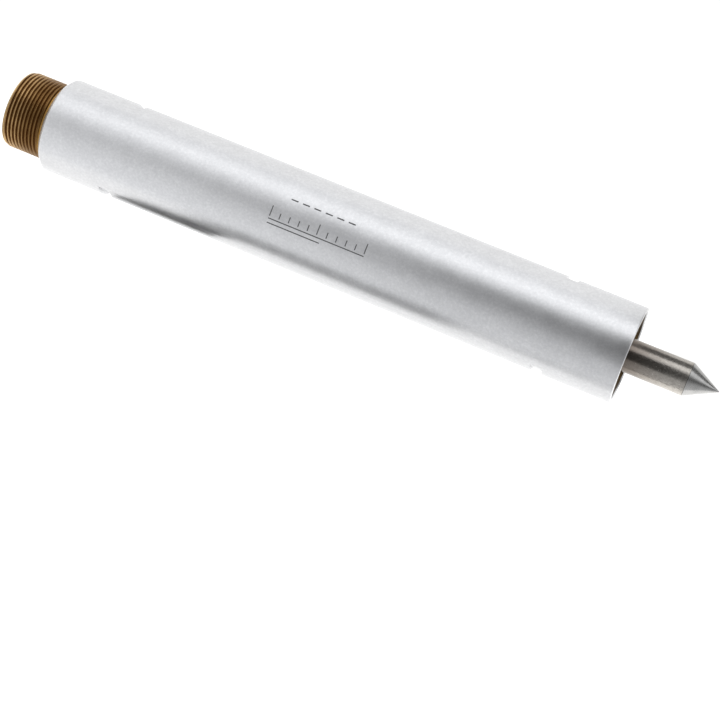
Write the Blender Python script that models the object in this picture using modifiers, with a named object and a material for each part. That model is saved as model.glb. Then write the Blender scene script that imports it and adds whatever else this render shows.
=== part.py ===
"""Six-inch extension for a three-point internal micrometer.

A chromed steel tube carries a brass male thread at its rear end and a brass female thread at its front end.
A ground push rod slides and turns inside it, guided by two bronze bushes. The micrometer's spindle pushes the
rod's hollow rear centre, the rod's cone works the measuring head, and a light spring brings the rod back.

Frame: +X runs along the axis from the male thread to the cone, +Z is the marked side of the tube, and the
wrench slots face +Y and -Y. The origin is on the axis, midway between the thread's end and the cone's tip.
"""

import math

import bmesh
import bpy
from mathutils import Matrix

MM = 0.001

# Driving dimensions.
TUBE_LENGTH = 152.4 * MM
TUBE_RADIUS = 12.0 * MM
THREAD_LENGTH = 11.1 * MM
ROD_REACH = 22.2 * MM
ROD_RADIUS = 4.15 * MM
EFFECTIVE_LENGTH = TUBE_LENGTH
THREAD_PITCH = 1.0 * MM
THREAD_CREST = 9.85 * MM
THREAD_ROOT = 9.3 * MM
FEMALE_MAJOR = 10.0 * MM
FEMALE_MINOR = 9.46 * MM
ACROSS_FLATS = 22.0 * MM
SLOT_WIDTH = 3.0 * MM
SLOT_INSET = 18.8 * MM
CONE_HALF_ANGLE = math.radians(28.0)
TIP_FLAT = 0.1 * MM
SEGMENTS = 32

# Clearances.
SEAT = 0.05 * MM
FACE = 0.1 * MM
RUNNING = 0.06 * MM

# Stations along the axis.
OVERALL = THREAD_LENGTH + TUBE_LENGTH + ROD_REACH
THREAD_END = -OVERALL / 2
TUBE_REAR = THREAD_END + THREAD_LENGTH
TUBE_FRONT = TUBE_REAR + TUBE_LENGTH
CONE_TIP = OVERALL / 2
CONE_BASE = CONE_TIP - (ROD_RADIUS - TIP_FLAT) / math.tan(CONE_HALF_ANGLE)
SOCKET_APEX = CONE_TIP - EFFECTIVE_LENGTH
REAR_SLOT = TUBE_REAR + SLOT_INSET
FRONT_SLOT = TUBE_FRONT - SLOT_INSET
REAR_STEP = TUBE_REAR + 36.0 * MM
SPRING_STEP = TUBE_REAR + 92.0 * MM
FRONT_STEP = TUBE_FRONT - 15.0 * MM

# Radii of the tube's bore, from the rear end to the front end.
REAR_BORE = 9.5 * MM
SPRING_BORE = 8.5 * MM
GUIDE_BORE = 7.0 * MM
FRONT_BORE = 11.0 * MM

# Guides, wipers and their clips.
ADAPTER_DEPTH = 24.0 * MM
ADAPTER_BORE = 6.0 * MM
BUSH_BORE = ROD_RADIUS + RUNNING
WIPER_RECESS = 6.0 * MM
WIPER_LENGTH = 2.0 * MM
CLIP_GROOVE = 6.4 * MM
CLIP_INNER = 5.2 * MM
CLIP_LENGTH = 0.6 * MM
FRONT_BUSH_LENGTH = 24.5 * MM
FLANGE_LENGTH = 2.0 * MM

# Rod fittings, return spring and lock pins.
SHANK_RADIUS = 2.5 * MM
SHANK_LENGTH = 8.0 * MM
SOCKET_RADIUS = 3.0 * MM
REAR_CENTER_LENGTH = 8.0 * MM
COLLAR_RADIUS = 6.5 * MM
COLLAR_LENGTH = 8.0 * MM
WASHER_RADIUS = 6.8 * MM
WASHER_BORE = 4.4 * MM
WASHER_LENGTH = 1.0 * MM
SPRING_RADIUS = 5.8 * MM
SPRING_WIRE = 0.8 * MM
SPRING_TURNS = 10
SPRING_POINTS_PER_TURN = 14
COLLAR_PIN_RADIUS = 1.0 * MM
ADAPTER_PIN_RADIUS = 1.25 * MM
INSERT_PIN_RADIUS = 0.8 * MM

# Stations that follow from the sizes above.
REAR_BUSH_START = TUBE_REAR + ADAPTER_DEPTH + FACE
REAR_BUSH_END = REAR_STEP - SEAT
FLANGE_START = FRONT_STEP + FACE
FRONT_BUSH_END = FLANGE_START + FLANGE_LENGTH
FRONT_BUSH_START = FRONT_BUSH_END - FRONT_BUSH_LENGTH
INSERT_START = FRONT_BUSH_END + FACE
INSERT_END = TUBE_FRONT - 0.3 * MM
SOCKET_FACE = SOCKET_APEX - SOCKET_RADIUS / math.tan(CONE_HALF_ANGLE)
SHAFT_START = SOCKET_FACE + REAR_CENTER_LENGTH + SEAT
SHAFT_END = CONE_BASE - SEAT
COLLAR_START = REAR_BUSH_END + FACE
COLLAR_END = COLLAR_START + COLLAR_LENGTH
SLIP_START = COLLAR_END + FACE
THRUST_START = SLIP_START + WASHER_LENGTH + FACE
SPRING_START = THRUST_START + WASHER_LENGTH + FACE
SEAT_WASHER_LENGTH = 1.2 * MM
SEAT_WASHER_START = SPRING_STEP - FACE - SEAT_WASHER_LENGTH
SPRING_END = SEAT_WASHER_START - FACE
ADAPTER_PIN_STATION = TUBE_REAR + 8.0 * MM
INSERT_PIN_STATION = INSERT_START + 1.5 * MM

OBJECT_NAME = "internal_micrometer_extension"
COLOURS = {
    "satin_chrome": ((0.62, 0.63, 0.65), 0.32, 1.0),
    "brass": ((0.56, 0.43, 0.22), 0.34, 1.0),
    "bronze": ((0.48, 0.31, 0.17), 0.40, 1.0),
    "ground_steel": ((0.36, 0.34, 0.32), 0.28, 1.0),
    "hardened_steel": ((0.44, 0.43, 0.42), 0.22, 1.0),
    "zinc_steel": ((0.55, 0.55, 0.54), 0.35, 1.0),
    "spring_steel": ((0.25, 0.25, 0.26), 0.30, 1.0),
    "felt": ((0.30, 0.28, 0.25), 0.95, 0.0),
}


def clear_scene():
    for item in list(bpy.data.objects):
        bpy.data.objects.remove(item, do_unlink=True)


def new_collection(name):
    collection = bpy.data.collections.new(name)
    bpy.context.scene.collection.children.link(collection)
    return collection


def make_material(name):
    colour, roughness, metallic = COLOURS[name]
    material = bpy.data.materials.new(name)
    material.use_nodes = True
    shader = material.node_tree.nodes["Principled BSDF"]
    shader.inputs["Base Color"].default_value = (*colour, 1.0)
    shader.inputs["Roughness"].default_value = roughness
    shader.inputs["Metallic"].default_value = metallic
    material.diffuse_color = (*colour, 1.0)
    return material


def make_axis_empty(name, parent=None):
    """Return an empty on the tool's axis, which the pieces of one body hang from."""
    empty = bpy.data.objects.new(name, None)
    empty.empty_display_size = 0.01
    empty.parent = parent
    parts.objects.link(empty)
    return empty


def finish_part(item, material_name, parent):
    """Give a piece its material, its smooth shading and its body."""
    item.data.materials.append(materials[material_name])
    item.parent = parent
    if item.type == "MESH":
        item.data.shade_smooth()
    return item


def turned(name, profile, closed, collection):
    """Turn a profile of (station, radius) points about the X axis.

    A closed profile runs back along the outside, from front to rear, and returns along the bore.
    """
    mesh = bpy.data.meshes.new(name)
    points = [(radius, 0.0, station) for station, radius in profile]
    edges = [(i, i + 1) for i in range(len(points) - 1)]
    if closed:
        edges.append((len(points) - 1, 0))
    mesh.from_pydata(points, edges, [])
    item = bpy.data.objects.new(name, mesh)
    item.rotation_euler = (0.0, math.radians(90.0), 0.0)
    collection.objects.link(item)
    screw = item.modifiers.new("turn", "SCREW")
    screw.axis = "Z"
    screw.steps = SEGMENTS
    screw.render_steps = SEGMENTS
    screw.use_merge_vertices = True
    screw.merge_threshold = 0.00001
    return item


def turned_ring(name, outside, bore, collection=None):
    """Turn a ring whose outside and bore are both listed from rear to front."""
    return turned(name, outside[::-1] + bore, True, collection or parts)


def turned_solid(name, outside, collection=None):
    """Turn a solid whose outside is listed from rear to front and closed on the axis."""
    profile = [(outside[-1][0], 0.0)] + outside[::-1] + [(outside[0][0], 0.0)]
    return turned(name, profile, False, collection or parts)


def plain_ring(name, start, end, outer, inner, chamfer=0.0):
    """Turn a plain ring with an optional chamfer on both outer edges."""
    outside = [(start, outer), (end, outer)]
    if chamfer:
        outside = [
            (start, outer - chamfer),
            (start + chamfer, outer),
            (end - chamfer, outer),
            (end, outer - chamfer),
        ]
    return turned_ring(name, outside, [(start, inner), (end, inner)])


def as_tool(item):
    """Mark an object as a cutter or guide that isn't part of the model."""
    item.hide_render = True
    item.display_type = "WIRE"
    return item


def box_tool(name, centre, size):
    bpy.ops.mesh.primitive_cube_add(size=1.0, location=centre)
    item = bpy.context.object
    item.name = name
    item.data.transform(Matrix.Diagonal((*size, 1.0)))
    move_to(item, tools)
    return as_tool(item)


def move_to(item, collection):
    for owner in list(item.users_collection):
        owner.objects.unlink(item)
    collection.objects.link(item)


def round_pin(name, station, low, high, radius, collection):
    """Make a pin across the axis, from height low to height high."""
    bpy.ops.mesh.primitive_cylinder_add(
        vertices=16,
        radius=radius,
        depth=high - low,
        location=(station, 0.0, (low + high) / 2),
    )
    item = bpy.context.object
    item.name = name
    move_to(item, collection)
    return item


def combine(target, tool, operation):
    modifier = target.modifiers.new(operation.lower(), "BOOLEAN")
    modifier.operation = operation
    modifier.solver = "EXACT"
    modifier.object = tool


def helical_ridge(name, start, turns, inner, outer, inner_width, outer_width):
    """Sweep a trapezium along a right-hand helix about the X axis and close its two ends.

    The sweep is turned by half a segment, so that its edges don't lie on those of the body that it meets.
    """
    half_inner = inner_width / 2
    half_outer = outer_width / 2
    profile = [
        (start + half_inner, inner),
        (start + half_outer, outer),
        (start - half_outer, outer),
        (start - half_inner, inner),
    ]
    sweep = turned(name + "_sweep", profile, True, tools)
    screw = sweep.modifiers["turn"]
    screw.screw_offset = THREAD_PITCH
    screw.iterations = turns
    screw.use_merge_vertices = False
    bpy.context.view_layer.update()
    evaluated = sweep.evaluated_get(bpy.context.evaluated_depsgraph_get())
    mesh = bpy.data.meshes.new_from_object(evaluated)
    body = bmesh.new()
    body.from_mesh(mesh)
    open_edges = [edge for edge in body.edges if edge.is_boundary]
    bmesh.ops.holes_fill(body, edges=open_edges, sides=0)
    bmesh.ops.recalc_face_normals(body, faces=body.faces)
    body.to_mesh(mesh)
    body.free()
    item = bpy.data.objects.new(name, mesh)
    item.matrix_world = Matrix.Rotation(math.pi / SEGMENTS, 4, "X") @ sweep.matrix_world
    tools.objects.link(item)
    bpy.data.objects.remove(sweep, do_unlink=True)
    return as_tool(item)


def make_outer_tube(parent):
    rear_chamfer = 1.0 * MM
    front_chamfer = 0.3 * MM
    mouth_chamfer = 0.6 * MM
    outside = [
        (TUBE_REAR, TUBE_RADIUS - rear_chamfer),
        (TUBE_REAR + rear_chamfer, TUBE_RADIUS),
        (TUBE_FRONT - front_chamfer, TUBE_RADIUS),
        (TUBE_FRONT, TUBE_RADIUS - front_chamfer),
    ]
    bore = [
        (TUBE_REAR, REAR_BORE + mouth_chamfer),
        (TUBE_REAR + mouth_chamfer, REAR_BORE),
        (REAR_STEP, REAR_BORE),
        (REAR_STEP, SPRING_BORE),
        (SPRING_STEP, SPRING_BORE),
        (SPRING_STEP, GUIDE_BORE),
        (FRONT_STEP, GUIDE_BORE),
        (FRONT_STEP, FRONT_BORE),
        (TUBE_FRONT, FRONT_BORE),
    ]
    tube = turned_ring("outer_tube", outside, bore)
    depth = 4.0 * MM
    for end, station in (("rear", REAR_SLOT), ("front", FRONT_SLOT)):
        for side in (1, -1):
            centre = (station, side * (ACROSS_FLATS + depth) / 2, 0.0)
            size = (SLOT_WIDTH, depth, 3 * TUBE_RADIUS)
            combine(tube, box_tool(f"{end}_slot_cutter", centre, size), "DIFFERENCE")
    return finish_part(tube, "satin_chrome", parent)


def make_male_thread_adapter(parent):
    over = 0.5 * MM
    shank = REAR_BORE - SEAT
    relief = THREAD_ROOT + 0.25 * MM
    relief_start = TUBE_REAR - 1.1 * MM
    lead = 0.85 * MM
    shank_end = TUBE_REAR + ADAPTER_DEPTH
    bore_chamfer = 1.2 * MM
    adapter = turned_ring(
        "male_thread_adapter",
        [
            (THREAD_END - over, THREAD_ROOT),
            (TUBE_REAR, THREAD_ROOT),
            (TUBE_REAR, shank),
            (shank_end, shank),
        ],
        [
            (THREAD_END - over, ADAPTER_BORE + bore_chamfer),
            (THREAD_END - over + bore_chamfer, ADAPTER_BORE),
            (shank_end, ADAPTER_BORE),
        ],
    )
    ridge = helical_ridge(
        "male_thread_ridge",
        THREAD_END - THREAD_PITCH,
        12,
        THREAD_ROOT - 0.15 * MM,
        THREAD_CREST,
        0.90 * THREAD_PITCH,
        0.16 * THREAD_PITCH,
    )
    combine(adapter, ridge, "UNION")
    clear = REAR_BORE + 0.8 * MM
    envelope = turned_solid(
        "thread_envelope",
        [
            (THREAD_END, THREAD_CREST - lead),
            (THREAD_END + lead + clear - THREAD_CREST, clear),
            (relief_start - 0.6 * MM, clear),
            (relief_start, relief),
            (TUBE_REAR + SEAT, relief),
            (TUBE_REAR + SEAT, clear),
            (shank_end + over, clear),
        ],
        tools,
    )
    combine(adapter, as_tool(envelope), "INTERSECT")
    return finish_part(adapter, "brass", parent)


def make_female_thread_insert(parent):
    outer = FRONT_BORE - SEAT
    land_end = INSERT_START + 3.0 * MM
    relief_end = land_end + 0.8 * MM
    relief = FEMALE_MAJOR + 0.15 * MM
    mouth = 10.55 * MM
    mouth_start = INSERT_END - (mouth - FEMALE_MINOR)
    insert = turned_ring(
        "female_thread_insert",
        [(INSERT_START, outer), (INSERT_END, outer)],
        [
            (INSERT_START, 8.5 * MM),
            (land_end, 8.5 * MM),
            (land_end, relief),
            (relief_end, relief),
            (relief_end, FEMALE_MINOR),
            (mouth_start, FEMALE_MINOR),
            (INSERT_END, mouth),
        ],
    )
    groove = helical_ridge(
        "female_thread_cutter",
        relief_end - 0.5 * THREAD_PITCH,
        10,
        FEMALE_MINOR - 0.3 * MM,
        FEMALE_MAJOR,
        0.92 * THREAD_PITCH,
        0.16 * THREAD_PITCH,
    )
    combine(insert, groove, "DIFFERENCE")
    return finish_part(insert, "brass", parent)


def make_lock_pin(name, station, radius, depth, locked, parent):
    """Make a radial pin on the unmarked side, and drill the tube and the brass piece that it locks."""
    top = -TUBE_RADIUS + 0.25 * MM
    pin = round_pin(name, station, top, top + depth, radius, parts)
    for owner in (outer_tube, locked):
        hole = round_pin(name + "_hole", station, top - 2 * MM, top + depth + FACE, radius + SEAT, tools)
        combine(owner, as_tool(hole), "DIFFERENCE")
    return finish_part(pin, "hardened_steel", parent)


def clip_recess(face, inward):
    """Return the bore points of a wiper recess with its clip groove, from the open face inward."""
    groove_start = face + inward * 0.3 * MM
    groove_end = groove_start + inward * (CLIP_LENGTH + FACE)
    floor = groove_end + inward * (WIPER_LENGTH + FACE)
    return [
        (face, WIPER_RECESS),
        (groove_start, WIPER_RECESS),
        (groove_start, CLIP_GROOVE),
        (groove_end, CLIP_GROOVE),
        (groove_end, WIPER_RECESS),
        (floor, WIPER_RECESS),
        (floor, BUSH_BORE),
    ]


def make_rear_guide_bush(parent):
    outer = REAR_BORE - SEAT
    bore = clip_recess(REAR_BUSH_START, 1) + [(REAR_BUSH_END, BUSH_BORE)]
    bush = turned_ring("rear_guide_bush", [(REAR_BUSH_START, outer), (REAR_BUSH_END, outer)], bore)
    return finish_part(bush, "bronze", parent)


def make_front_guide_bush(parent):
    body = GUIDE_BORE - SEAT
    flange = FRONT_BORE - SEAT
    outside = [
        (FRONT_BUSH_START, body),
        (FLANGE_START, body),
        (FLANGE_START, flange),
        (FRONT_BUSH_END, flange),
    ]
    bore = [(FRONT_BUSH_START, BUSH_BORE)] + clip_recess(FRONT_BUSH_END, -1)[::-1]
    return finish_part(turned_ring("front_guide_bush", outside, bore), "bronze", parent)


def make_wiper(end, face, inward, parent):
    """Make the felt wiper and the split clip that holds it in a guide bush."""
    clip_near = face + inward * (0.3 * MM + FACE / 2)
    clip_far = clip_near + inward * CLIP_LENGTH
    wiper_near = clip_far + inward * (FACE / 2 + SEAT)
    wiper_far = wiper_near + inward * WIPER_LENGTH
    clip_start, clip_end = sorted((clip_near, clip_far))
    clip = plain_ring(f"{end}_wiper_clip", clip_start, clip_end, CLIP_GROOVE - SEAT, CLIP_INNER)
    gap_centre = ((clip_start + clip_end) / 2, 0.0, CLIP_GROOVE)
    gap = box_tool(f"{end}_clip_gap", gap_centre, (2 * MM, 2 * MM, 4 * MM))
    combine(clip, gap, "DIFFERENCE")
    finish_part(clip, "spring_steel", parent)
    wiper_start, wiper_end = sorted((wiper_near, wiper_far))
    wiper = plain_ring(f"{end}_wiper_ring", wiper_start, wiper_end, WIPER_RECESS - SEAT, BUSH_BORE)
    finish_part(wiper, "felt", parent)


def make_return_spring(parent):
    """Wind a compression spring whose end turns lie close against the washers."""
    wire_radius = SPRING_WIRE / 2
    closed_pitch = SPRING_WIRE + 0.1 * MM
    start = SPRING_START + wire_radius
    end = SPRING_END - wire_radius
    open_pitch = (end - start - 2 * closed_pitch) / (SPRING_TURNS - 2)
    curve = bpy.data.curves.new("return_spring", "CURVE")
    curve.dimensions = "3D"
    curve.bevel_depth = wire_radius
    curve.bevel_resolution = 2
    curve.use_fill_caps = True
    count = SPRING_TURNS * SPRING_POINTS_PER_TURN + 1
    spline = curve.splines.new("POLY")
    spline.points.add(count - 1)
    for i, point in enumerate(spline.points):
        turn = i / SPRING_POINTS_PER_TURN
        rise = closed_pitch * min(turn, 1.0)
        rise += open_pitch * min(max(turn - 1.0, 0.0), SPRING_TURNS - 2)
        rise += closed_pitch * max(turn - (SPRING_TURNS - 1), 0.0)
        angle = 2 * math.pi * turn
        point.co = (start + rise, SPRING_RADIUS * math.cos(angle), SPRING_RADIUS * math.sin(angle), 1.0)
    item = bpy.data.objects.new("return_spring", curve)
    parts.objects.link(item)
    return finish_part(item, "spring_steel", parent)


def make_washers(housing, follower):
    seat = plain_ring(
        "spring_seat_washer",
        SEAT_WASHER_START,
        SEAT_WASHER_START + SEAT_WASHER_LENGTH,
        SPRING_BORE - 0.2 * MM,
        WASHER_BORE,
    )
    finish_part(seat, "zinc_steel", housing)
    for name, start, finish in (
        ("slip_washer", SLIP_START, "bronze"),
        ("thrust_washer", THRUST_START, "zinc_steel"),
    ):
        washer = plain_ring(name, start, start + WASHER_LENGTH, WASHER_RADIUS, WASHER_BORE)
        finish_part(washer, finish, follower)


def make_rod_shaft(parent):
    """Make the shaft with a blind hole in each end for the shanks of the cone and of the rear centre."""
    hole = SHANK_RADIUS + SEAT
    depth = SHANK_LENGTH + FACE
    profile = [
        (SHAFT_END - depth, 0.0),
        (SHAFT_END - depth, hole),
        (SHAFT_END, hole),
        (SHAFT_END, ROD_RADIUS),
        (SHAFT_START, ROD_RADIUS),
        (SHAFT_START, hole),
        (SHAFT_START + depth, hole),
        (SHAFT_START + depth, 0.0),
    ]
    return finish_part(turned("rod_shaft", profile, False, parts), "ground_steel", parent)


def make_cone_point(parent):
    lead = 0.4 * MM
    shank_start = CONE_BASE - SHANK_LENGTH
    outside = [
        (shank_start, SHANK_RADIUS - lead),
        (shank_start + lead, SHANK_RADIUS),
        (CONE_BASE, SHANK_RADIUS),
        (CONE_BASE, ROD_RADIUS),
        (CONE_TIP, TIP_FLAT),
    ]
    return finish_part(turned_solid("cone_point", outside), "hardened_steel", parent)


def make_rear_center(parent):
    """Make the hardened rear end of the rod, with the socket that takes another rod's cone."""
    lead = 0.4 * MM
    body_end = SOCKET_FACE + REAR_CENTER_LENGTH
    profile = [
        (body_end + SHANK_LENGTH, 0.0),
        (body_end + SHANK_LENGTH, SHANK_RADIUS),
        (body_end, SHANK_RADIUS),
        (body_end, ROD_RADIUS),
        (SOCKET_FACE + lead, ROD_RADIUS),
        (SOCKET_FACE, ROD_RADIUS - lead),
        (SOCKET_FACE, SOCKET_RADIUS),
        (SOCKET_APEX, 0.0),
    ]
    return finish_part(turned("rear_center", profile, False, parts), "hardened_steel", parent)


def make_collar(shaft, parent):
    """Make the collar that the spring pushes and the cross pin that holds it on the rod."""
    collar = plain_ring("rod_collar", COLLAR_START, COLLAR_END, COLLAR_RADIUS, ROD_RADIUS + SEAT, 0.5 * MM)
    station = (COLLAR_START + COLLAR_END) / 2
    reach = COLLAR_RADIUS - 0.2 * MM
    pin = round_pin("collar_pin", station, -reach, reach, COLLAR_PIN_RADIUS, parts)
    radius = COLLAR_PIN_RADIUS + SEAT
    hole = as_tool(round_pin("collar_pin_hole", station, -2 * reach, 2 * reach, radius, tools))
    combine(collar, hole, "DIFFERENCE")
    combine(shaft, hole, "DIFFERENCE")
    finish_part(collar, "zinc_steel", parent)
    finish_part(pin, "hardened_steel", parent)


clear_scene()
parts = new_collection(OBJECT_NAME)
tools = new_collection("cutters")
materials = {name: make_material(name) for name in COLOURS}

housing_axis = make_axis_empty("housing_axis")
follower_axis = make_axis_empty("rod_slide_axis", housing_axis)
rod_axis = make_axis_empty("rod_spin_axis", follower_axis)

outer_tube = make_outer_tube(housing_axis)
adapter = make_male_thread_adapter(housing_axis)
insert = make_female_thread_insert(housing_axis)
make_lock_pin("adapter_lock_pin", ADAPTER_PIN_STATION, ADAPTER_PIN_RADIUS, 4.6 * MM, adapter, housing_axis)
make_lock_pin("insert_lock_pin", INSERT_PIN_STATION, INSERT_PIN_RADIUS, 2.4 * MM, insert, housing_axis)
make_rear_guide_bush(housing_axis)
make_front_guide_bush(housing_axis)
make_wiper("rear", REAR_BUSH_START, 1, housing_axis)
make_wiper("front", FRONT_BUSH_END, -1, housing_axis)
make_return_spring(housing_axis)
make_washers(housing_axis, follower_axis)
rod_shaft = make_rod_shaft(rod_axis)
make_cone_point(rod_axis)
make_rear_center(rod_axis)
make_collar(rod_shaft, rod_axis)
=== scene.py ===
import math

import bmesh
import bpy
import numpy as np
from mathutils import Matrix, Vector


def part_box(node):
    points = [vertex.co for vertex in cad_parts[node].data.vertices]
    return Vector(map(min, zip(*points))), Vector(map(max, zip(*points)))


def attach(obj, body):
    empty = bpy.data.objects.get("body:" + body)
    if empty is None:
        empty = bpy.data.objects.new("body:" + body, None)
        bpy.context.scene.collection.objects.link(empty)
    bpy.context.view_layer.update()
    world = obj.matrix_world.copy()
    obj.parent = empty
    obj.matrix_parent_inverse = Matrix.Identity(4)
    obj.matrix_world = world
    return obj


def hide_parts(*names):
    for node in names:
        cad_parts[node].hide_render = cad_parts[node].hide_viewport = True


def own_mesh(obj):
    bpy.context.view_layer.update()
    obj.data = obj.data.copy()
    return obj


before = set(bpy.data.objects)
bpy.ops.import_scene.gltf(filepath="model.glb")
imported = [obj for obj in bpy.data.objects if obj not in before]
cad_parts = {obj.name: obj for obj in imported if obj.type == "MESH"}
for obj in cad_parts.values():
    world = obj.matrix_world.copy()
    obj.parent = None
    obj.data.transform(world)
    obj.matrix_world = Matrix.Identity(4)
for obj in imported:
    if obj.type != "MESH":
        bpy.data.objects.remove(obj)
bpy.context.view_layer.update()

MM = 0.001
TAU = 2 * math.pi


# ---------------------------------------------------------------- sizes read from the frame

def extent(node):
    """First station, last station and outer radius of a CAD node about the X axis."""
    low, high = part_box(node)
    return low.x, high.x, max(high.y, high.z)


TUBE_REAR, TUBE_FRONT, TUBE_RADIUS = extent("outer_tube")
THREAD_END, ADAPTER_FRONT, _ = extent("male_thread_adapter")
INSERT_REAR, INSERT_FRONT, INSERT_RADIUS = extent("female_thread_insert")
SHAFT_REAR, SHAFT_FRONT, ROD_RADIUS = extent("rod_shaft")
CONE_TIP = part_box("cone_point")[1].x

# Sizes inside the nodes, which their boxes don't show.
THREAD_PITCH = 1.0 * MM
THREAD_CREST = 9.85 * MM
THREAD_ROOT = 9.30 * MM
THREAD_RELIEF = 9.55 * MM
SHANK_RADIUS = 9.45 * MM
FEMALE_MAJOR = 10.0 * MM
FEMALE_MINOR = 9.46 * MM
ADAPTER_BORE = 6.0 * MM
RELIEF_LENGTH = 1.1 * MM
SLOT_INSET = 18.8 * MM
SLOT_WIDTH = 3.0 * MM
SLOT_FLAT = 11.0 * MM
REAR_BORE = 9.5 * MM
SPRING_BORE = 8.5 * MM
GUIDE_BORE = 7.0 * MM
FRONT_BORE = 11.0 * MM
SPRING_STEP = TUBE_REAR + 92.0 * MM
REAR_STEP = TUBE_REAR + 36.0 * MM
FRONT_STEP = TUBE_FRONT - 15.0 * MM
BUSH_BORE = 4.21 * MM
WASHER_BORE = 4.4 * MM
PLUG_RADIUS = 2.5 * MM
FIT = 0.05 * MM
TIP_FLAT = 0.1 * MM
CONE_BASE = SHAFT_FRONT + FIT


# ---------------------------------------------------------------- mesh tools

def add_mesh(name, vertices, faces):
    mesh = bpy.data.meshes.new(name)
    mesh.from_pydata(vertices, [], faces)
    mesh.validate()
    item = bpy.data.objects.new(name, mesh)
    bpy.context.scene.collection.objects.link(item)
    return item


def shade(item, angle=32):
    item.data.shade_smooth()
    item.data.set_sharp_from_angle(angle=math.radians(angle))
    return item


def softened(points, size, closed):
    """Round every corner of an outline of (station, radius) points with a short three-point arc."""
    count = len(points)
    result = []
    for i, point in enumerate(points):
        if not closed and i in (0, count - 1):
            result.append(point)
            continue
        here = Vector(point)
        before = Vector(points[i - 1]) - here
        after = Vector(points[(i + 1) % count]) - here
        cut = min(size, 0.4 * before.length, 0.4 * after.length)
        start = here + before.normalized() * cut
        end = here + after.normalized() * cut
        middle = 0.25 * start + 0.5 * here + 0.25 * end
        result += [tuple(start), tuple(middle), tuple(end)]
    return result


def revolve(name, rows, closed, steps=128):
    """Turn rows of (station, radius) about the X axis; a radius may be a function of the angle.

    An open outline starts and ends on the axis, with a single point for each end.
    """
    angles = np.arange(steps) * TAU / steps
    cosines, sines = np.cos(angles), np.sin(angles)
    vertices = []
    rings = []
    for station, radius in rows:
        radii = radius(angles) if callable(radius) else np.full(steps, radius)
        if not callable(radius) and radius == 0:
            rings.append([len(vertices)] * steps)
            vertices.append((station, 0.0, 0.0))
            continue
        rings.append(list(range(len(vertices), len(vertices) + steps)))
        vertices += list(zip(np.full(steps, station), radii * cosines, radii * sines))
    faces = []
    pairs = list(zip(rings, rings[1:]))
    if closed:
        pairs.append((rings[-1], rings[0]))
    for near, far in pairs:
        for j in range(steps):
            k = (j + 1) % steps
            corners = [near[j], near[k], far[k], far[j]]
            faces.append([c for n, c in enumerate(corners) if c not in corners[:n]])
    item = add_mesh(name, vertices, faces)
    tidy_normals(item)
    return shade(item)


def tidy_normals(item):
    body = bmesh.new()
    body.from_mesh(item.data)
    bmesh.ops.recalc_face_normals(body, faces=body.faces)
    body.to_mesh(item.data)
    body.free()


def turned(name, outline, closed=True, soft=0.08 * MM, steps=128):
    return revolve(name, softened(outline, soft, closed), closed, steps)


def washer_outline(start, end, outer, inner):
    return [(start, outer), (end, outer), (end, inner), (start, inner)]


def block(name, centre, size):
    """A box used to cut a slot or a gap."""
    body = bmesh.new()
    bmesh.ops.create_cube(body, size=1.0)
    mesh = bpy.data.meshes.new(name)
    body.to_mesh(mesh)
    body.free()
    mesh.transform(Matrix.Translation(centre) @ Matrix.Diagonal((*size, 1.0)))
    item = bpy.data.objects.new(name, mesh)
    bpy.context.scene.collection.objects.link(item)
    return item


def cross_rod(name, station, low, high, radius, steps=48):
    """A round rod across the axis, parallel to Z."""
    body = bmesh.new()
    bmesh.ops.create_cone(
        body, cap_ends=True, segments=steps, radius1=radius, radius2=radius, depth=high - low
    )
    mesh = bpy.data.meshes.new(name)
    body.to_mesh(mesh)
    body.free()
    mesh.transform(Matrix.Translation((station, 0.0, (low + high) / 2)))
    item = bpy.data.objects.new(name, mesh)
    bpy.context.scene.collection.objects.link(item)
    return item


def carve(item, cutters):
    """Cut the cutters out of the item, apply the result and remove the cutters."""
    for cutter in cutters:
        boolean = item.modifiers.new("cut", "BOOLEAN")
        boolean.operation = "DIFFERENCE"
        boolean.solver = "EXACT"
        boolean.object = cutter
    apply_modifiers(item)
    for cutter in cutters:
        bpy.data.objects.remove(cutter, do_unlink=True)
    return item


def apply_modifiers(item):
    bpy.context.view_layer.update()
    evaluated = item.evaluated_get(bpy.context.evaluated_depsgraph_get())
    mesh = bpy.data.meshes.new_from_object(evaluated)
    item.modifiers.clear()
    item.data = mesh
    return item


def place(item, body, slot, material, *nodes):
    """Give a finished piece its material and its body, and hide the CAD nodes that it stands for."""
    item.data.materials.clear()
    item.data.materials.append(material)
    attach(item, body)
    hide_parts(*nodes)
    return item


# ---------------------------------------------------------------- materials

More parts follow.
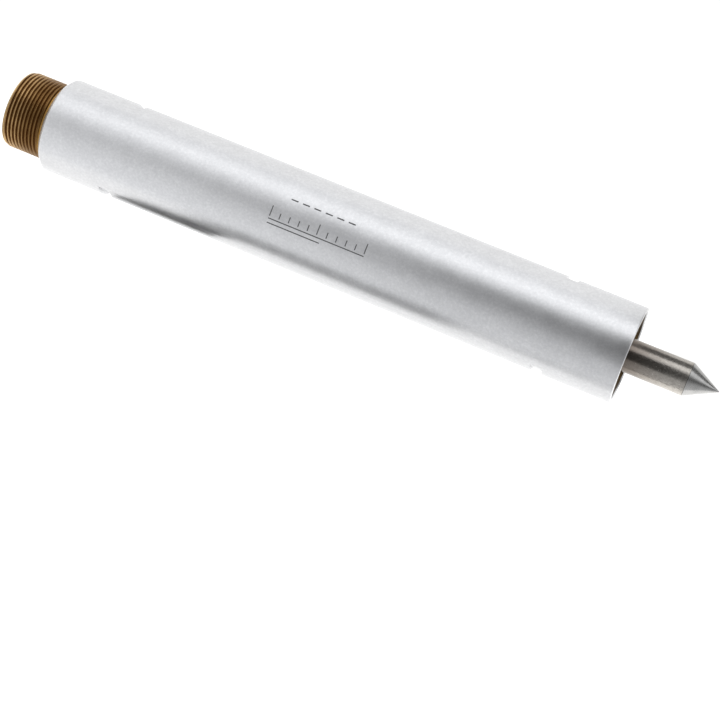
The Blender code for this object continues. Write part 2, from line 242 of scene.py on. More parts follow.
class Nodes:
    """Short ways to build a node material."""

    def __init__(self, name):
        self.material = bpy.data.materials.new(name)
        self.material.use_nodes = True
        self.tree = self.material.node_tree
        self.shader = self.tree.nodes["Principled BSDF"]
        self.place = self.tree.nodes.new("ShaderNodeTexCoord").outputs["Object"]

    def link(self, source, target):
        self.tree.links.new(source, target)

    def feed(self, socket, value):
        if isinstance(value, bpy.types.NodeSocket):
            self.link(value, socket)
        else:
            socket.default_value = value

    def stretched(self, scale):
        node = self.tree.nodes.new("ShaderNodeMapping")
        self.link(self.place, node.inputs["Vector"])
        node.inputs["Scale"].default_value = scale
        return node.outputs["Vector"]

    def noise(self, scale, detail=3.0, roughness=0.55, vector=None):
        node = self.tree.nodes.new("ShaderNodeTexNoise")
        self.link(vector or self.place, node.inputs["Vector"])
        node.inputs["Scale"].default_value = scale
        node.inputs["Detail"].default_value = detail
        node.inputs["Roughness"].default_value = roughness
        return node.outputs["Fac"]

    def cells(self, scale):
        node = self.tree.nodes.new("ShaderNodeTexVoronoi")
        self.link(self.place, node.inputs["Vector"])
        node.inputs["Scale"].default_value = scale
        return node.outputs["Distance"]

    def remap(self, value, low, high, to_low, to_high):
        node = self.tree.nodes.new("ShaderNodeMapRange")
        self.link(value, node.inputs["Value"])
        node.inputs["From Min"].default_value = low
        node.inputs["From Max"].default_value = high
        node.inputs["To Min"].default_value = to_low
        node.inputs["To Max"].default_value = to_high
        return node.outputs["Result"]

    def math(self, operation, first, second):
        node = self.tree.nodes.new("ShaderNodeMath")
        node.operation = operation
        self.feed(node.inputs[0], first)
        self.feed(node.inputs[1], second)
        return node.outputs[0]

    def blend(self, factor, first, second):
        node = self.tree.nodes.new("ShaderNodeMix")
        node.data_type = "RGBA"
        self.link(factor, node.inputs["Factor"])
        self.feed(node.inputs["A"], (*first, 1.0) if isinstance(first, tuple) else first)
        self.feed(node.inputs["B"], (*second, 1.0) if isinstance(second, tuple) else second)
        return node.outputs["Result"]

    def patches(self, value, low, high, dark, light):
        """Go from the dark colour to the light one as the value goes from low to high."""
        return self.blend(self.remap(value, low, high, 0.0, 1.0), dark, light)

    def axes(self):
        split = self.tree.nodes.new("ShaderNodeSeparateXYZ")
        self.link(self.place, split.inputs["Vector"])
        return split.outputs

    def radius(self):
        """Distance from the tool's axis."""
        axes = self.axes()
        flat = self.tree.nodes.new("ShaderNodeCombineXYZ")
        self.link(axes["Y"], flat.inputs["Y"])
        self.link(axes["Z"], flat.inputs["Z"])
        length = self.tree.nodes.new("ShaderNodeVectorMath")
        length.operation = "LENGTH"
        self.link(flat.outputs["Vector"], length.inputs[0])
        return length.outputs["Value"]

    def bump(self, height, strength, distance, below=None):
        node = self.tree.nodes.new("ShaderNodeBump")
        self.link(height, node.inputs["Height"])
        node.inputs["Strength"].default_value = strength
        node.inputs["Distance"].default_value = distance
        if below is not None:
            self.link(below, node.inputs["Normal"])
        return node.outputs["Normal"]

    def finish(self, colour, roughness, normal=None, metallic=1.0):
        self.link(colour, self.shader.inputs["Base Color"])
        self.feed(self.shader.inputs["Roughness"], roughness)
        self.shader.inputs["Metallic"].default_value = metallic
        if normal is not None:
            self.link(normal, self.shader.inputs["Normal"])
        return self.material


def satin_chrome():
    """Blasted and plated steel: a fine sparkling grain over faint cloudy patches."""
    nodes = Nodes("satin_chrome")
    clouds = nodes.noise(230.0, 3.0)
    blast = nodes.noise(1500.0, 3.0, 0.65)
    grain = nodes.noise(4200.0, 2.0, 0.7)
    colour = nodes.patches(clouds, 0.35, 0.65, (0.685, 0.69, 0.705), (0.73, 0.735, 0.75))
    colour = nodes.blend(nodes.remap(blast, 0.46, 0.70, 0.0, 0.45), colour, (0.58, 0.585, 0.60))
    colour = nodes.blend(nodes.remap(blast, 0.46, 0.30, 0.0, 0.45), colour, (0.84, 0.845, 0.86))
    roughness = nodes.remap(clouds, 0.3, 0.7, 0.31, 0.36)
    normal = nodes.bump(blast, 0.45, 0.03 * MM)
    normal = nodes.bump(grain, 0.25, 0.01 * MM, normal)
    return nodes.finish(colour, roughness, normal)


def brass_lines(nodes):
    """Fine tool marks round the axis."""
    return nodes.noise(1.0, 2.0, 0.6, nodes.stretched((14000.0, 300.0, 300.0)))


def thread_brass():
    """Turned brass thread: brown patina in the grooves, worn crests, and a clean chamfer at its end."""
    nodes = Nodes("thread_brass")
    height = nodes.remap(nodes.radius(), THREAD_ROOT, THREAD_CREST, 0.0, 1.0)
    patina = nodes.noise(380.0, 4.0)
    worn = nodes.math("ADD", height, nodes.remap(patina, 0.3, 0.7, -0.22, 0.18))
    station = nodes.axes()["X"]
    clean_end, aged_start = THREAD_END + 2.8 * MM, THREAD_END + 6.5 * MM
    crest = nodes.patches(station, clean_end, aged_start, (0.55, 0.36, 0.165), (0.23, 0.13, 0.047))
    colour = nodes.patches(worn, 0.50, 1.0, (0.20, 0.105, 0.036), crest)
    relief = TUBE_REAR - RELIEF_LENGTH
    colour = nodes.patches(station, relief - 0.2 * MM, relief, colour, (0.38, 0.22, 0.065))
    chamfer = nodes.remap(station, THREAD_END + 0.30 * MM, THREAD_END + 0.55 * MM, 1.0, 0.0)
    colour = nodes.blend(chamfer, colour, (0.72, 0.53, 0.27))
    lines = brass_lines(nodes)
    colour = nodes.blend(nodes.remap(lines, 0.35, 0.7, 0.0, 0.3), colour, (0.20, 0.11, 0.04))
    normal = nodes.bump(lines, 0.25, 0.01 * MM)
    return nodes.finish(colour, nodes.remap(lines, 0.3, 0.7, 0.28, 0.42), normal)


def dull_brass(name, dark, light):
    """Turned brass or bronze with brown patches and tool marks."""
    nodes = Nodes(name)
    colour = nodes.patches(nodes.noise(420.0, 4.0), 0.3, 0.7, dark, light)
    lines = brass_lines(nodes)
    colour = nodes.blend(nodes.remap(lines, 0.35, 0.7, 0.0, 0.35), colour, dark)
    normal = nodes.bump(lines, 0.25, 0.01 * MM)
    return nodes.finish(colour, nodes.remap(lines, 0.3, 0.7, 0.30, 0.45), normal)


def ground_steel():
    """Ground rod: fine lines round it, mottled patches, a few dark pits and painted shade near the tube's
    mouth.
    """
    nodes = Nodes("ground_steel")
    lines = nodes.noise(1.0, 3.0, 0.65, nodes.stretched((5200.0, 420.0, 420.0)))
    mottle = nodes.noise(1.0, 4.0, 0.7, nodes.stretched((1300.0, 1700.0, 1700.0)))
    pits = nodes.remap(nodes.cells(420.0), 0.0, 0.20, 1.0, 0.0)
    rare = nodes.remap(nodes.noise(170.0, 1.0), 0.60, 0.64, 0.0, 1.0)
    pits = nodes.math("MULTIPLY", pits, rare)
    colour = nodes.patches(mottle, 0.32, 0.70, (0.325, 0.305, 0.28), (0.51, 0.485, 0.45))
    colour = nodes.blend(pits, colour, (0.04, 0.03, 0.02))
    # Painted shade: the rod is darkened towards the tube's mouth, as if the tube's shadow fell on it
    # there.
    mouth_shade = nodes.remap(nodes.axes()["X"], TUBE_FRONT, TUBE_FRONT + 11.0 * MM, 0.85, 0.0)
    colour = nodes.blend(mouth_shade, colour, (0.16, 0.13, 0.11))
    roughness = nodes.remap(mottle, 0.3, 0.7, 0.18, 0.28)
    normal = nodes.bump(lines, 0.45, 0.012 * MM)
    normal = nodes.bump(mottle, 0.50, 0.016 * MM, normal)
    return nodes.finish(colour, roughness, normal)


def lapped_steel(name, dark, light):
    """Hardened steel ground to a fine finish, with faint lines round the axis."""
    nodes = Nodes(name)
    lines = nodes.noise(1.0, 3.0, 0.6, nodes.stretched((12000.0, 350.0, 350.0)))
    colour = nodes.patches(nodes.noise(700.0, 3.0), 0.3, 0.7, dark, light)
    roughness = nodes.remap(lines, 0.3, 0.7, 0.20, 0.30)
    normal = nodes.bump(lines, 0.30, 0.01 * MM)
    return nodes.finish(colour, roughness, normal)


def felt():
    nodes = Nodes("felt")
    fibres = nodes.noise(2600.0, 5.0, 0.75)
    colour = nodes.patches(fibres, 0.3, 0.7, (0.16, 0.14, 0.11), (0.36, 0.33, 0.28))
    normal = nodes.bump(fibres, 0.9, 0.08 * MM)
    return nodes.finish(colour, 0.95, normal, 0.0)


def etch_ink():
    nodes = Nodes("etch_ink")
    grain = nodes.noise(2400.0, 3.0)
    colour = nodes.patches(grain, 0.3, 0.7, (0.055, 0.055, 0.058), (0.12, 0.12, 0.125))
    return nodes.finish(colour, nodes.remap(grain, 0.3, 0.7, 0.5, 0.7), None, 0.0)


def floor_white():
    """White self-lit table, a little brighter on the near side and close to the tube and the rod."""
    nodes = Nodes("floor_white")
    colour = nodes.patches(nodes.noise(60.0, 3.0), 0.3, 0.7, (0.04, 0.04, 0.04), (0.05, 0.05, 0.05))
    axes = nodes.axes()
    base = nodes.remap(axes["Y"], 0.0, -20.0 * MM, 0.98, 1.12)
    from_axis = nodes.math("ABSOLUTE", axes["Y"], 0.0)
    beside_tube = nodes.remap(from_axis, 10.0 * MM, 30.0 * MM, 0.24, 0.0)
    past_tube = nodes.remap(axes["X"], TUBE_FRONT + 4.0 * MM, TUBE_FRONT + 9.0 * MM, 0.0, 1.0)
    near_half = nodes.remap(axes["Y"], -2.0 * MM, 2.0 * MM, 1.0, 0.0)
    kept = nodes.math("MAXIMUM", near_half, nodes.math("SUBTRACT", 1.0, past_tube))
    beside_tube = nodes.math("MULTIPLY", beside_tube, kept)
    beside_rod = nodes.remap(axes["Y"], 0.0, -12.0 * MM, 0.0, 0.4)
    beside_rod = nodes.math("MULTIPLY", past_tube, beside_rod)
    strength = nodes.math("ADD", nodes.math("ADD", base, beside_tube), beside_rod)
    nodes.link(strength, nodes.shader.inputs["Emission Strength"])
    nodes.shader.inputs["Emission Color"].default_value = (1.0, 0.995, 0.985, 1.0)
    return nodes.finish(colour, 0.7, None, 0.0)


def card_grey(name, tone):
    """Matt card of one grey tone, with a faint paper grain."""
    nodes = Nodes(name)
    dark = (0.85 * tone, 0.85 * tone, 0.84 * tone)
    light = (1.15 * tone, 1.15 * tone, 1.14 * tone)
    colour = nodes.patches(nodes.noise(300.0, 3.0), 0.3, 0.7, dark, light)
    return nodes.finish(colour, 0.8, None, 0.0)


# ---------------------------------------------------------------- the pieces

ROWS_PER_PITCH = 16
EASE = 0.02 * MM


def thread_height(phase):
    """Height of a 60 degree thread with a flat crest and a narrower root, from 0 to 1, over one pitch."""
    rise = 1.0 - np.abs(2.0 * (phase % 1.0) - 1.0)
    level = np.clip((rise - 0.14) / 0.66, 0.0, 1.0)
    return level * level * (3.0 - 2.0 * level) * 0.35 + level * 0.65


def threaded_row(station, root, crest, limit, inside=False):
    """One row of a helical thread, whose radius turns softly into the limit that its chamfers set."""
    def radius(angles):
        height = thread_height(station / THREAD_PITCH - angles / TAU)
        radii = root + (crest - root) * height
        side = 1.0 if inside else -1.0
        return side * EASE * np.logaddexp(side * radii / EASE, side * limit / EASE)
    return station, radius


def stations(start, end):
    count = int(round((end - start) / THREAD_PITCH * ROWS_PER_PITCH))
    return [start + (end - start) * i / count for i in range(count + 1)]


def male_thread_rows():
    """Outside of the male thread, with its end chamfer and its run-out into the relief."""
    lead = 0.85 * MM
    runout = 0.55 * MM
    relief_start = TUBE_REAR - RELIEF_LENGTH
    rows = []
    for x in stations(THREAD_END, relief_start + 0.05 * MM):
        chamfer = THREAD_CREST - lead + (x - THREAD_END)
        ending = THREAD_RELIEF + (relief_start - x) / runout * (THREAD_CREST - THREAD_RELIEF)
        limit = max(min(chamfer, ending), THREAD_RELIEF)
        rows.append(threaded_row(x, THREAD_ROOT, THREAD_CREST, limit))
    return rows


def make_male_thread_adapter():
    mouth = 1.0 * MM
    rest = softened(
        [
            (TUBE_REAR - RELIEF_LENGTH + 0.1 * MM, THREAD_RELIEF),
            (TUBE_REAR + FIT, THREAD_RELIEF),
            (TUBE_REAR + FIT, SHANK_RADIUS),
            (ADAPTER_FRONT, SHANK_RADIUS),
            (ADAPTER_FRONT, ADAPTER_BORE),
            (THREAD_END + mouth, ADAPTER_BORE),
            (THREAD_END, ADAPTER_BORE + mouth),
        ],
        0.12 * MM,
        False,
    )
    adapter = revolve("brass_male_thread", male_thread_rows() + rest, True, 192)
    carve(adapter, [lock_pin_hole("adapter_lock_pin")])
    place(shade(adapter), "housing", "brass", BRASS, "male_thread_adapter")


def make_female_thread_insert():
    land_end = INSERT_REAR + 3.0 * MM
    relief_end = land_end + 0.8 * MM
    mouth = 10.55 * MM
    rows = []
    for x in reversed(stations(relief_end, INSERT_FRONT)):
        limit = max(mouth - (INSERT_FRONT - x), FEMALE_MINOR)
        rows.append(threaded_row(x, FEMALE_MINOR, FEMALE_MAJOR, limit, True))
    rest = softened(
        [
            (relief_end - 0.02 * MM, FEMALE_MAJOR + 0.15 * MM),
            (land_end, FEMALE_MAJOR + 0.15 * MM),
            (land_end, SPRING_BORE),
            (INSERT_REAR, SPRING_BORE),
            (INSERT_REAR, INSERT_RADIUS),
            (INSERT_FRONT, INSERT_RADIUS),
        ],
        0.1 * MM,
        False,
    )
    insert = revolve("brass_female_thread", rows + rest, True, 192)
    carve(insert, [lock_pin_hole("insert_lock_pin")])
    place(shade(insert), "housing", "brass", BRASS_BORE_PATINA_AND_SHADE, "female_thread_insert")


def lock_pin(node):
    """Station, lowest height, highest height and radius of a lock pin's CAD node."""
    low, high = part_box(node)
    return (low.x + high.x) / 2, low.z, high.z, (high.x - low.x) / 2


def lock_pin_hole(node):
    """A cutter for the hole of a lock pin, open at the tube's surface."""
    station, bottom, top, radius = lock_pin(node)
    return cross_rod("hole", station, bottom - 2 * MM, top + FIT, radius + FIT)


def make_lock_pins():
    for node in ("adapter_lock_pin", "insert_lock_pin"):
        pin = cross_rod(node.replace("_lock", "_round"), *lock_pin(node))
        edge = pin.modifiers.new("edge", "BEVEL")
        edge.width = 0.15 * MM
        edge.segments = 3
        apply_modifiers(pin)
        place(shade(pin), "housing", "hardened_steel", HARD_STEEL, node)


def slab(name, x_range, arc_range, r_range):
    """A thin curved plate on the tube: a range of stations, of arc lengths from the top, and of radii."""
    steps = max(2, int(abs(arc_range[1] - arc_range[0]) / (0.15 * MM)))
    vertices = []
    for radius in r_range:
        for i in range(steps + 1):
            arc = arc_range[0] + (arc_range[1] - arc_range[0]) * i / steps
            angle = arc / TUBE_RADIUS
            for x in x_range:
                vertices.append((x, radius * math.sin(angle), radius * math.cos(angle)))
    row = 2 * (steps + 1)
    faces = [(0, 1, row + 1, row), (row - 2, row - 1, 2 * row - 1, 2 * row - 2)]
    for i in range(steps):
        a = 2 * i
        faces.append((a, a + 1, a + 3, a + 2))
        faces.append((row + a, row + a + 1, row + a + 3, row + a + 2))
        faces.append((a, a + 2, row + a + 2, row + a))
        faces.append((a + 1, a + 3, row + a + 3, row + a + 1))
    item = add_mesh(name, vertices, faces)
    tidy_normals(item)
    return item


def mark_strokes():
    """Two plain rules, graduations and dashes: ranges of stations and of arc lengths from the top line."""
    line = 0.26 * MM
    middle = TUBE_REAR + 74.5 * MM
    length = 25.0 * MM
    start = middle - length / 2
    strokes = []
    for arc, share in ((-3.0 * MM, 1.0), (-4.1 * MM, 0.55)):
        strokes.append(((start, start + length * share), (arc, arc + line)))
    divisions = 10
    foot = -2.3 * MM
    for i in range(divisions + 1):
        x = start + (length - line) * i / divisions
        height = 2.6 * MM if i % 5 == 0 else 1.5 * MM
        strokes.append(((x, x + line), (foot, foot + height)))
    dashes, spacing, dash = 6, 3.0 * MM, 1.8 * MM
    for i in range(dashes):
        x = middle + (i - dashes / 2) * spacing
        strokes.append(((x, x + dash), (3.2 * MM, 3.54 * MM)))
    return strokes


def make_outer_tube():
    """The chromed tube with its wrench slots, lock pin holes, bore steps and shallow etched strokes."""
    rear_chamfer = 1.0 * MM
    front_chamfer = 0.15 * MM
    mouth_chamfer = 0.6 * MM
    outline = [
        (TUBE_REAR, TUBE_RADIUS - rear_chamfer),
        (TUBE_REAR + rear_chamfer, TUBE_RADIUS),
        (TUBE_FRONT - front_chamfer, TUBE_RADIUS),
        (TUBE_FRONT, TUBE_RADIUS - front_chamfer),
        (TUBE_FRONT, FRONT_BORE),
        (FRONT_STEP, FRONT_BORE),
        (FRONT_STEP, GUIDE_BORE),
        (SPRING_STEP, GUIDE_BORE),
        (SPRING_STEP, SPRING_BORE),
        (REAR_STEP, SPRING_BORE),
        (REAR_STEP, REAR_BORE),
        (TUBE_REAR + mouth_chamfer, REAR_BORE),
        (TUBE_REAR, REAR_BORE + mouth_chamfer),
    ]
    tube = turned("chromed_tube", outline, True, 0.1 * MM, 256)
    cutters = []
    depth = 4.0 * MM
    for station in (TUBE_REAR + SLOT_INSET, TUBE_FRONT - SLOT_INSET):
        for side in (1, -1):
            centre = (station, side * (SLOT_FLAT + depth / 2), 0.0)
            cutters.append(block("slot", centre, (SLOT_WIDTH, depth, 3 * TUBE_RADIUS)))
    for node in ("adapter_lock_pin", "insert_lock_pin"):
        cutters.append(lock_pin_hole(node))
    etched = (TUBE_RADIUS - 0.05 * MM, TUBE_RADIUS + 0.2 * MM)
    for stroke in mark_strokes():
        cutters.append(slab("stroke", *stroke, etched))
    carve(tube, cutters)
    place(shade(tube, 25), "housing", "satin_chrome", CHROME, "outer_tube")


def make_etched_mark():
    """Dark filling of the etched strokes, just below the tube's surface."""
    filled = (TUBE_RADIUS - 0.045 * MM, TUBE_RADIUS - 0.012 * MM)
    inset = 0.004 * MM
    fills = []
    for (x0, x1), (a0, a1) in mark_strokes():
        fills.append(slab("fill", (x0 + inset, x1 - inset), (a0 + inset, a1 - inset), filled))
    mark = joined("etched_graduations", fills)
    mark.data.materials.append(INK)
    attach(mark, "housing")


def joined(name, items):
    """Join separate meshes into one object."""
    body = bmesh.new()
    for item in items:
        body.from_mesh(item.data)
    mesh = bpy.data.meshes.new(name)
    body.to_mesh(mesh)
    body.free()
    for item in items:
        bpy.data.objects.remove(item, do_unlink=True)
    result = bpy.data.objects.new(name, mesh)
    bpy.context.scene.collection.objects.link(result)
    return result


def make_bushes():
    rear, rear_end, rear_radius = extent("rear_guide_bush")
    front, front_end, flange_radius = extent("front_guide_bush")
    rear_bush = turned(
        "bronze_rear_bush",
        [(rear_end, BUSH_BORE), (rear_end, rear_radius), (rear, rear_radius)] + recess(rear, 1),
    )
    place(rear_bush, "housing", "bronze", BRONZE, "rear_guide_bush")
    body = GUIDE_BORE - FIT
    flange = FRONT_STEP + 0.1 * MM
    front_bush = turned(
        "bronze_front_bush",
        [
            (front, BUSH_BORE),
            (front, body),
            (flange, body),
            (flange, flange_radius),
            (front_end, flange_radius),
        ]
        + recess(front_end, -1),
    )
    place(front_bush, "housing", "bronze", BRONZE, "front_guide_bush")


def recess(face, inward):
    """Bore of a wiper recess with its clip groove, from the open face inward to the guide bore."""
    near = face + inward * 0.3 * MM
    far = near + inward * 0.7 * MM
    floor = far + inward * 2.1 * MM
    wide = 6.0 * MM
    groove = 6.4 * MM
    return [
        (face, wide),
        (near, wide),
        (near, groove),
        (far, groove),
        (far, wide),
        (floor, wide),
        (floor, BUSH_BORE),
    ]


def make_wipers():
    for end in ("rear", "front"):
        start, stop, radius = extent(f"{end}_wiper_ring")
        ring = turned(f"felt_{end}_ring", washer_outline(start, stop, radius, BUSH_BORE), True, 0.3 * MM)
        place(ring, "housing", "felt", FELT, f"{end}_wiper_ring")
        start, stop, _ = extent(f"{end}_wiper_clip")
        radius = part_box(f"{end}_wiper_clip")[1].y
        clip = turned(f"split_{end}_clip", washer_outline(start, stop, radius, 5.2 * MM), True)
        gap = block("gap", ((start + stop) / 2, 0.0, radius), (2 * MM, 2 * MM, 4 * MM))
        carve(clip, [gap])
        place(shade(clip), "housing", "spring_steel", SPRING_STEEL, f"{end}_wiper_clip")


def make_washers():
    for node, name, body, slot, material in (
        ("spring_seat_washer", "seat_washer", "housing", "zinc_steel", ZINC),
        ("slip_washer", "bronze_slip_washer", "spring_follower", "bronze", BRONZE),
        ("thrust_washer", "steel_thrust_washer", "spring_follower", "zinc_steel", ZINC),
    ):
        start, stop, radius = extent(node)
        washer = turned(name, washer_outline(start, stop, radius, WASHER_BORE))
        place(washer, body, slot, material, node)


def make_return_spring():
    """Compression spring with closed end turns, as one fixed mesh on the housing, which does not shorten
    as the rod slides.
    """
    low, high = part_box("return_spring")
    wire = 0.4 * MM
    turns = 10
    per_turn = 48
    coil = 5.8 * MM
    closed_pitch = 0.9 * MM
    start, end = low.x + wire, high.x - wire
    open_pitch = (end - start - 2 * closed_pitch) / (turns - 2)
    curve = bpy.data.curves.new("spring_path", "CURVE")
    curve.dimensions = "3D"
    curve.bevel_depth = wire
    curve.bevel_resolution = 4
    curve.use_fill_caps = True
    spline = curve.splines.new("POLY")
    spline.points.add(turns * per_turn)
    for i, point in enumerate(spline.points):
        turn = i / per_turn
        rise = closed_pitch * (min(turn, 1.0) + max(turn - (turns - 1), 0.0))
        rise += open_pitch * min(max(turn - 1.0, 0.0), turns - 2)
        point.co = (start + rise, coil * math.cos(TAU * turn), coil * math.sin(TAU * turn), 1.0)
    path = bpy.data.objects.new("spring_path", curve)
    bpy.context.scene.collection.objects.link(path)
    bpy.context.view_layer.update()
    evaluated = path.evaluated_get(bpy.context.evaluated_depsgraph_get())
    spring = bpy.data.objects.new("wound_spring", bpy.data.meshes.new_from_object(evaluated))
    bpy.context.scene.collection.objects.link(spring)
    bpy.data.objects.remove(path, do_unlink=True)
    place(shade(spring, 60), "housing", "spring_steel", SPRING_STEEL, "return_spring")
    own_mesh(spring)


def make_rod():
    hole = PLUG_RADIUS + FIT
    depth = 8.1 * MM
    shaft = turned(
        "ground_rod",
        [
            (SHAFT_FRONT - depth, 0.0),
            (SHAFT_FRONT - depth, hole),
            (SHAFT_FRONT, hole),
            (SHAFT_FRONT, ROD_RADIUS),
            (SHAFT_REAR, ROD_RADIUS),
            (SHAFT_REAR, hole),
            (SHAFT_REAR + depth, hole),
            (SHAFT_REAR + depth, 0.0),
        ],
        False,
        0.05 * MM,
    )
    station, reach, radius = collar_pin()
    carve(shaft, [cross_rod("hole", station, -2 * reach, 2 * reach, radius + FIT)])
    place(shade(shaft), "push_rod", "ground_steel", ROD_STEEL, "rod_shaft")

    shank = CONE_BASE - 8.0 * MM
    cone = turned(
        "lapped_cone",
        [
            (shank, 0.0),
            (shank, PLUG_RADIUS - 0.4 * MM),
            (shank + 0.4 * MM, PLUG_RADIUS),
            (CONE_BASE, PLUG_RADIUS),
            (CONE_BASE, ROD_RADIUS),
            (CONE_TIP, TIP_FLAT),
            (CONE_TIP, 0.0),
        ],
        False,
        0.05 * MM,
    )
    place(cone, "push_rod", "hardened_steel", CONE_STEEL, "cone_point")

    face, shank_end, _ = extent("rear_center")
    body_end = SHAFT_REAR - FIT
    socket = 3.0 * MM
    apex = face + socket / math.tan(math.radians(28.0))
    center = turned(
        "socketed_rear_end",
        [
            (shank_end, 0.0),
            (shank_end, PLUG_RADIUS),
            (body_end, PLUG_RADIUS),
            (body_end, ROD_RADIUS),
            (face + 0.4 * MM, ROD_RADIUS),
            (face, ROD_RADIUS - 0.4 * MM),
            (face, socket),
            (apex, 0.0),
        ],
        False,
        0.05 * MM,
    )
    place(center, "push_rod", "hardened_steel", HARD_STEEL, "rear_center")


def collar_pin():
    """Station, reach from the axis and radius of the collar's cross pin."""
    low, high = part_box("collar_pin")
    return (low.x + high.x) / 2, high.z, (high.x - low.x) / 2


def make_collar():
    start, stop, radius = extent("rod_collar")
    edge = 0.5 * MM
    bore = ROD_RADIUS + FIT
    collar = turned(
        "pinned_collar",
        [
            (start, radius - edge),
            (start + edge, radius),
            (stop - edge, radius),
            (stop, radius - edge),
            (stop, bore),
            (start, bore),
        ],
    )
    station, reach, pin_radius = collar_pin()
    carve(collar, [cross_rod("hole", station, -2 * reach, 2 * reach, pin_radius + FIT)])
    place(shade(collar), "push_rod", "zinc_steel", ZINC, "rod_collar")
    pin = cross_rod("collar_cross_pin", station, -reach, reach, pin_radius)
    place(shade(pin), "push_rod", "hardened_steel", HARD_STEEL, "collar_pin")


# ---------------------------------------------------------------- floor, light and camera

def make_floor():
    """A wide pale table that the tube lies on."""
    half = 3.0
    height = -TUBE_RADIUS
    floor = add_mesh(
        "floor",
        [(-half, -half, height), (half, -half, height), (half, half, height), (-half, half, height)],
        [(0, 1, 2, 3)],
    )
    floor.data.materials.append(floor_white())


COOL = (0.985, 0.99, 1.0)
GAIN = 2.0
BEHIND = (
    (-90, 1.12), (-60, 0.98), (-35, 0.91), (-15, 0.80), (0, 0.71), (12, 0.74),
    (24, 0.95), (40, 1.14), (58, 1.17), (75, 1.06), (90, 0.90),
)
AHEAD = (
    (-90, 0.87), (-68, 0.71), (-45, 0.655), (-30, 0.51), (-17, 0.30), (-4, 0.155), (8, 0.14),
    (20, 0.33), (30.5, 0.94), (43, 1.30), (56, 1.27), (72, 1.14), (90, 0.88),
)


def tone_ramp(tree, place, tones):
    """A smooth run of grey tones, given as (degrees from overhead towards +Y, brightness) pairs."""
    ramp = tree.nodes.new("ShaderNodeValToRGB")
    tree.links.new(place, ramp.inputs["Fac"])
    ramp.color_ramp.interpolation = "B_SPLINE"
    steps = ramp.color_ramp.elements
    while len(steps) < len(tones):
        steps.new(0.5)
    for step, (degrees, tone) in zip(steps, tones):
        step.position = (degrees + 90.0) / 180.0
        step.color = (*(tone * channel / GAIN for channel in COOL), 1.0)
    return ramp.outputs["Color"]


def make_card(name, corners, material):
    """A card that only shows as a dark streak in the metal, as a photographer's flag does."""
    card = add_mesh(name, corners, [(0, 1, 2, 3)])
    card.data.materials.append(material)
    card.visible_camera = False
    card.visible_shadow = False
    card.visible_diffuse = False


def make_tube_cards():
    """Three cards beside the tube, darkest at its rear, with their low edges towards it."""
    table = -TUBE_RADIUS + 3.0 * MM
    for name, tone, rear, front, near, far, lift in (
        ("near_card", 0.05, 16.0, 44.0, -19.0, -46.0, 0.0),
        ("middle_card", 0.42, 26.0, 108.0, -46.0, -80.0, 26.0),
        ("far_card", 0.75, 108.0, 190.0, -75.0, -200.0, 14.0),
    ):
        x0, x1 = TUBE_REAR + rear * MM, TUBE_REAR + front * MM
        y0, y1 = near * MM, far * MM
        high = table + lift * MM
        corners = [(x0, y0, table), (x1, y0, table), (x1, y1, high), (x0, y1, high)]
        make_card(name, corners, card_grey(f"{name}_grey", tone))


def make_rod_cards():
    """One card stands beyond the rod, and one hangs over it."""
    x0, x1 = TUBE_FRONT + 6.0 * MM, TUBE_FRONT + 100.0 * MM
    y = 50.0 * MM
    low, high = -TUBE_RADIUS, 24.0 * MM
    corners = [(x0, y, low), (x1, y, low), (x1, y, high), (x0, y, high)]
    make_card("rod_card", corners, card_grey("rod_card_grey", 0.20))
    x0, x1 = TUBE_FRONT + 4.0 * MM, TUBE_FRONT + 30.0 * MM
    y0, y1 = -36.0 * MM, 33.0 * MM
    z = 60.0 * MM
    corners = [(x0, y0, z), (x1, y0, z), (x1, y1, z), (x0, y1, z)]
    make_card("rod_roof", corners, card_grey("rod_roof_grey", 0.05))


def world_math(tree, operation, *values):
    node = tree.nodes.new("ShaderNodeMath")
    node.operation = operation
    for value, socket in zip(values, node.inputs):
        tree.links.new(value, socket)
    return node.outputs[0]


def world_range(tree, value, low, high):
    node = tree.nodes.new("ShaderNodeMapRange")
    tree.links.new(value, node.inputs["Value"])
    node.inputs["From Min"].default_value = low
    node.inputs["From Max"].default_value = high
    return node.outputs["Result"]


def make_world():
    """A white tent round the tube, with a bright side and a grey side.

    Its tones run from side to side, and the dim gap overhead, where the camera looks in, is wider ahead.
    """
    world = bpy.data.worlds.new("tent")
    bpy.context.scene.world = world
    world.use_nodes = True
    tree = world.node_tree
    split = tree.nodes.new("ShaderNodeSeparateXYZ")
    tree.links.new(tree.nodes.new("ShaderNodeTexCoord").outputs["Generated"], split.inputs["Vector"])
    around = world_math(tree, "ARCTAN2", split.outputs["Y"], split.outputs["Z"])
    place = world_range(tree, around, -math.pi / 2, math.pi / 2)
    sides = tree.nodes.new("ShaderNodeMix")
    sides.data_type = "RGBA"
    ahead = world_range(tree, split.outputs["X"], -math.sin(math.radians(21.5)), 0.0)
    tree.links.new(ahead, sides.inputs["Factor"])
    tree.links.new(tone_ramp(tree, place, BEHIND), sides.inputs["A"])
    tree.links.new(tone_ramp(tree, place, AHEAD), sides.inputs["B"])
    whole = tree.nodes.new("ShaderNodeMix")
    whole.data_type = "RGBA"
    end = world_range(tree, world_math(tree, "ABSOLUTE", split.outputs["X"]), 0.93, 0.97)
    tree.links.new(end, whole.inputs["Factor"])
    tree.links.new(sides.outputs["Result"], whole.inputs["A"])
    whole.inputs["B"].default_value = (1.0 / GAIN, 1.0 / GAIN, 1.0 / GAIN, 1.0)
    background = tree.nodes["Background"]
    tree.links.new(whole.outputs["Result"], background.inputs["Color"])
    background.inputs["Strength"].default_value = GAIN


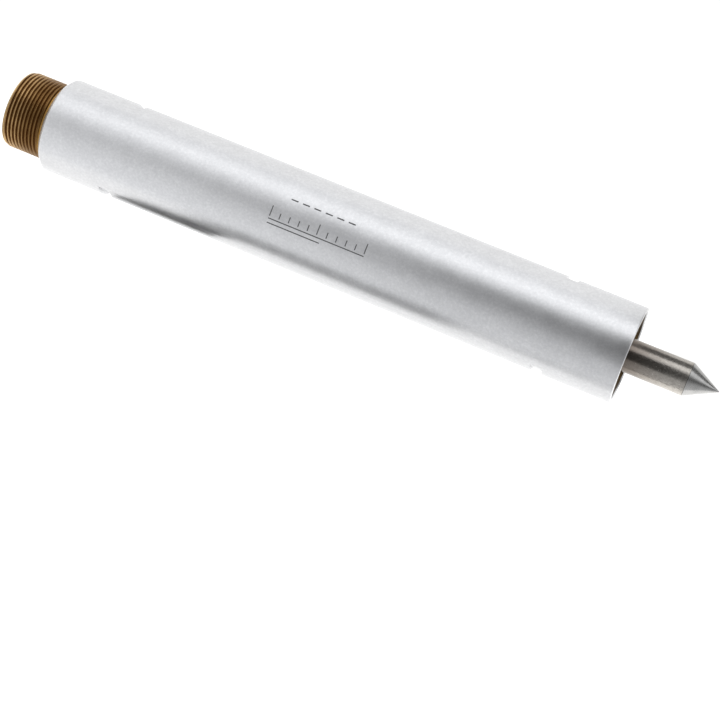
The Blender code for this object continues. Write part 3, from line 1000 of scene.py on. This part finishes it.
def make_light():
    """A weak soft box on the bright side, which faces the origin."""
    turn, rise = math.radians(95.0), math.radians(40.0)
    level = Vector((math.cos(turn), math.sin(turn), 0.0))
    direction = level * math.cos(rise) + Vector((0.0, 0.0, math.sin(rise)))
    data = bpy.data.lights.new("top_side_box", "AREA")
    data.shape = "RECTANGLE"
    data.size, data.size_y = 1.6, 0.5
    data.energy = 0.5
    lamp = bpy.data.objects.new("top_side_box", data)
    lamp.location = direction * 1.2
    lamp.rotation_euler = direction.to_track_quat("Z", "Y").to_euler()
    lamp.visible_camera = False
    bpy.context.scene.collection.objects.link(lamp)


CAMERA_STATION = TUBE_REAR + 175.6 * MM
CAMERA_HEIGHT = 425.0 * MM
CAMERA_LENS = 89.9
CAMERA_SPIN = math.radians(4.18)
CAMERA_YAW = math.radians(10.97)
CAMERA_PITCH = math.radians(-3.36)
CAMERA_ROLL = math.radians(22.124)


def make_camera():
    """The camera stands above the rod, looks back along the tube a little, and is rolled."""
    along = Vector((1.0, 0.0, 0.0))
    toward = Vector((0.0, -math.sin(CAMERA_SPIN), math.cos(CAMERA_SPIN)))
    side = Vector((0.0, math.cos(CAMERA_SPIN), math.sin(CAMERA_SPIN)))
    level_look = -along * math.sin(CAMERA_YAW) - toward * math.cos(CAMERA_YAW)
    look = level_look * math.cos(CAMERA_PITCH) + side * math.sin(CAMERA_PITCH)
    level = look.cross(side).normalized()
    upright = level.cross(look)
    right = level * math.cos(CAMERA_ROLL) + upright * math.sin(CAMERA_ROLL)
    up = upright * math.cos(CAMERA_ROLL) - level * math.sin(CAMERA_ROLL)
    data = bpy.data.cameras.new("camera")
    data.sensor_width = 36.0
    data.lens = CAMERA_LENS
    data.clip_start = 0.01
    data.clip_end = 50.0
    camera = bpy.data.objects.new("camera", data)
    position = along * CAMERA_STATION + toward * CAMERA_HEIGHT
    turn = Matrix((right, up, -look)).transposed().to_4x4()
    camera.matrix_world = Matrix.Translation(position) @ turn
    bpy.context.scene.collection.objects.link(camera)
    bpy.context.scene.camera = camera
    bpy.context.scene.view_settings.view_transform = "Standard"


CHROME = satin_chrome()
BRASS = thread_brass()
# Nearly black brass for the insert in the tube's mouth: partly patina, partly painted shade for its shaded
# bore.
BRASS_BORE_PATINA_AND_SHADE = dull_brass("brass_bore_patina_and_shade", (0.020, 0.012, 0.004), (0.07, 0.042, 0.014))
BRONZE = dull_brass("bearing_bronze", (0.20, 0.11, 0.045), (0.46, 0.30, 0.15))
ROD_STEEL = ground_steel()
CONE_STEEL = lapped_steel("lapped_steel", (0.37, 0.37, 0.365), (0.45, 0.445, 0.44))
HARD_STEEL = lapped_steel("hard_steel", (0.38, 0.37, 0.36), (0.52, 0.51, 0.50))
ZINC = lapped_steel("zinc_plate", (0.58, 0.59, 0.60), (0.68, 0.68, 0.67))
SPRING_STEEL = lapped_steel("spring_wire", (0.20, 0.20, 0.21), (0.30, 0.29, 0.28))
FELT = felt()
INK = etch_ink()

make_camera()
make_floor()
make_tube_cards()
make_rod_cards()
make_world()
make_light()
make_outer_tube()
make_etched_mark()
make_male_thread_adapter()
make_female_thread_insert()
make_lock_pins()
make_bushes()
make_wipers()
make_washers()
make_return_spring()
make_rod()
make_collar()
